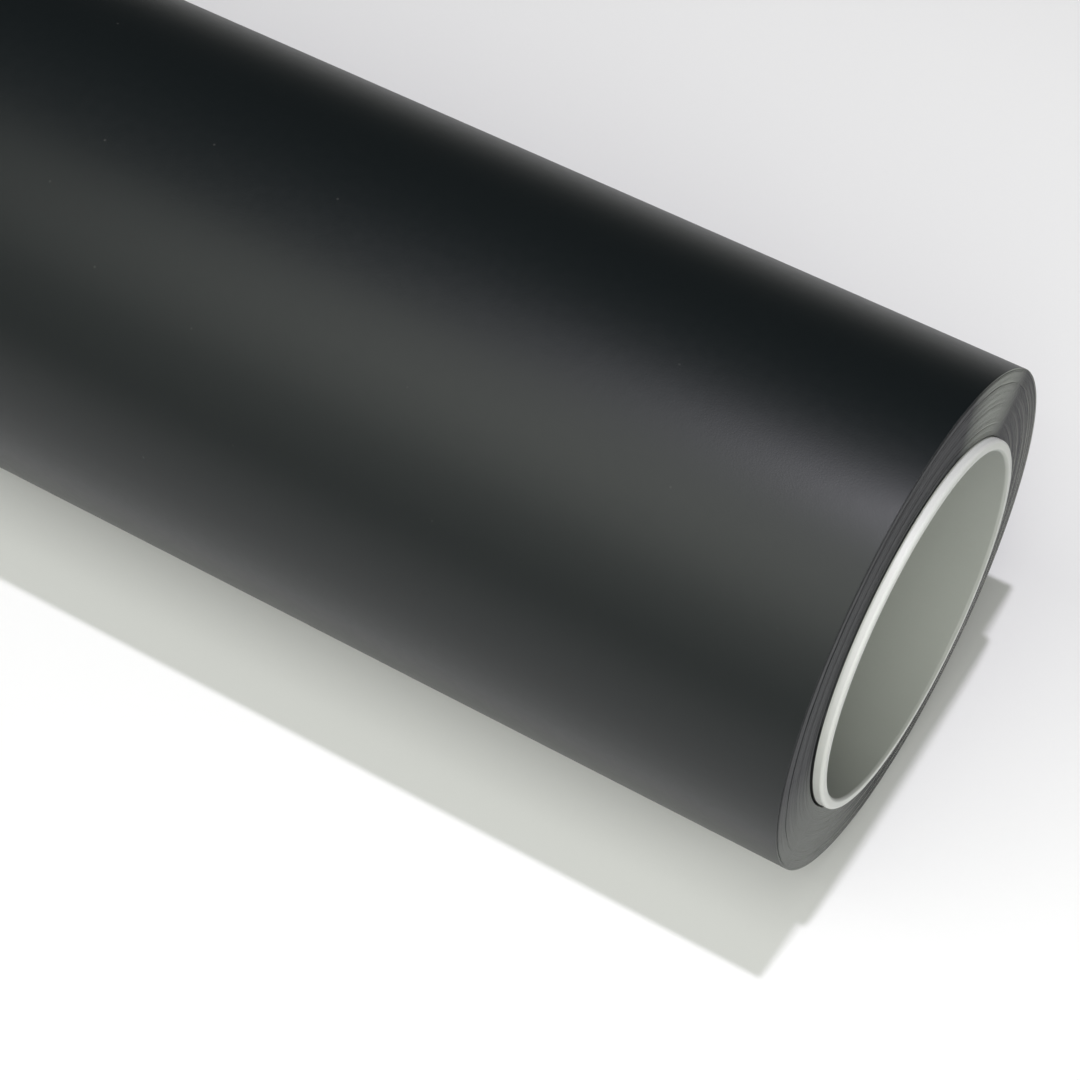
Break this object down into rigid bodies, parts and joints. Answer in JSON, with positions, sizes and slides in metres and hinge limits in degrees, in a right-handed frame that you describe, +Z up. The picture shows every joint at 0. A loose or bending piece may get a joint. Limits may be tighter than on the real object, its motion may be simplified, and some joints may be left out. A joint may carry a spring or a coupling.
{
  "type": "roll of sign vinyl",
  "caption": "Roll of matte black sign vinyl: film on a paper release liner, wound face out on an open plastic core, with a taped loose tail.",
  "frame": {"origin": "middle of the core's axis, half way between the two ends of the core", "axes": "X along the core, Z up; the free edge of the web is low on the +Y side and the roll lies on its -Z side"},
  "size_m": [0.3092, 0.1117, 0.1104],
  "materials": {
    "film": "matte black calendered vinyl film, fine even grain, soft sheen",
    "liner": "smooth siliconised paper, off-white",
    "core": "satin light grey extruded plastic",
    "tape": "thin crepe paper tape, pale cream"
  },
  "bodies": {
    "roll": {"core": "core", "start_tape": "tape", "wound_liner": "liner", "wound_film": "film"},
    "tail_1": {"tail_liner_1": "liner", "tail_film_1": "film"},
    "tail_2": {"tail_liner_2": "liner", "tail_film_2": "film"},
    "tail_3": {"tail_liner_3": "liner", "tail_film_3": "film"},
    "tail_4": {"tail_liner_4": "liner", "tail_film_4": "film"},
    "tail_5": {"tail_liner_5": "liner", "tail_film_5": "film"},
    "film_edge": {"film_edge": "film", "tab_left_anchor": "tape", "tab_right_anchor": "tape"},
    "tab_left": {"tab_left_flap": "tape"},
    "tab_right": {"tab_right_flap": "tape"}
  },
  "joints": [
    {"name": "tail_hinge_1", "type": "hinge", "parent": "roll", "child": "tail_1", "pos_m": [0, 0.04845, 0.02797], "axis": [1, 0, 0], "range_deg": [0, 16], "stiffness_Nm_per_rad": 0.03, "springref_deg": -5.73},
    {"name": "tail_hinge_2", "type": "hinge", "parent": "tail_1", "child": "tail_2", "pos_m": [0, 0.05434, 0.01337], "axis": [1, 0, 0], "range_deg": [0, 16]},
    {"name": "tail_hinge_3", "type": "hinge", "parent": "tail_2", "child": "tail_3", "pos_m": [0, 0.05597, -0.0023], "axis": [1, 0, 0], "range_deg": [0, 16]},
    {"name": "tail_hinge_4", "type": "hinge", "parent": "tail_3", "child": "tail_4", "pos_m": [0, 0.05322, -0.0178], "axis": [1, 0, 0], "range_deg": [0, 16]},
    {"name": "tail_hinge_5", "type": "hinge", "parent": "tail_4", "child": "tail_5", "pos_m": [0, 0.04629, -0.03194], "axis": [1, 0, 0], "range_deg": [0, 16]},
    {"name": "film_peel", "type": "hinge", "parent": "tail_5", "child": "film_edge", "pos_m": [0, 0.04247, -0.03695], "axis": [1, 0, 0], "range_deg": [0, 120]},
    {"name": "tab_left_lift", "type": "hinge", "parent": "film_edge", "child": "tab_left", "pos_m": [-0.095, 0.03595, -0.04389], "axis": [1, 0, 0], "range_deg": [0, 75]},
    {"name": "tab_right_lift", "type": "hinge", "parent": "film_edge", "child": "tab_right", "pos_m": [0.095, 0.03595, -0.04389], "axis": [1, 0, 0], "range_deg": [0, 75]}
  ],
  "couplings": [
    {"joint": "tail_hinge_2", "follows": "tail_hinge_1", "ratio": 1},
    {"joint": "tail_hinge_3", "follows": "tail_hinge_1", "ratio": 1},
    {"joint": "tail_hinge_4", "follows": "tail_hinge_1", "ratio": 1},
    {"joint": "tail_hinge_5", "follows": "tail_hinge_1", "ratio": 1}
  ]
}
